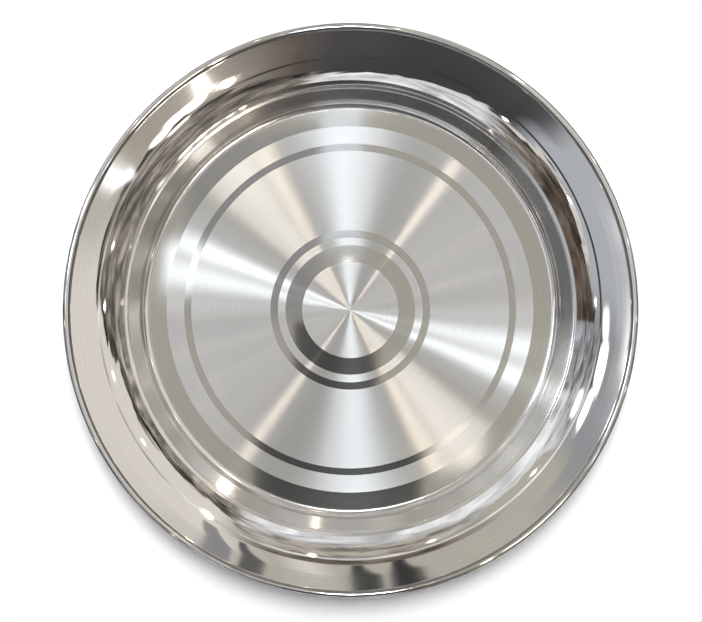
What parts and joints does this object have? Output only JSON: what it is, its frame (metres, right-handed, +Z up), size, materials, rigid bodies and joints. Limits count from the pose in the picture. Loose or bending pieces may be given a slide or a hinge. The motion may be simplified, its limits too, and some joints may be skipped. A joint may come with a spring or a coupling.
{
  "type": "pooja thali",
  "caption": "Round stainless steel thali with a flat floor, stepped flaring wall, wide lip and wired rolled rim, for carrying ritual offerings.",
  "frame": {"origin": "centre of the underside of the floor, on the plane the dish rests on", "axes": "+Z up along the dish's axis, +Y towards the top of the picture, +X towards its right"},
  "size_m": [0.3, 0.3, 0.035],
  "materials": {
    "polished_steel": "mirror-polished wall, lip and rim; spun satin floor with mirror rings",
    "wire_steel": "plain drawn wire"
  },
  "bodies": {
    "root": {"dish": "polished_steel", "rim_wire": "wire_steel"}
  },
  "joints": []
}
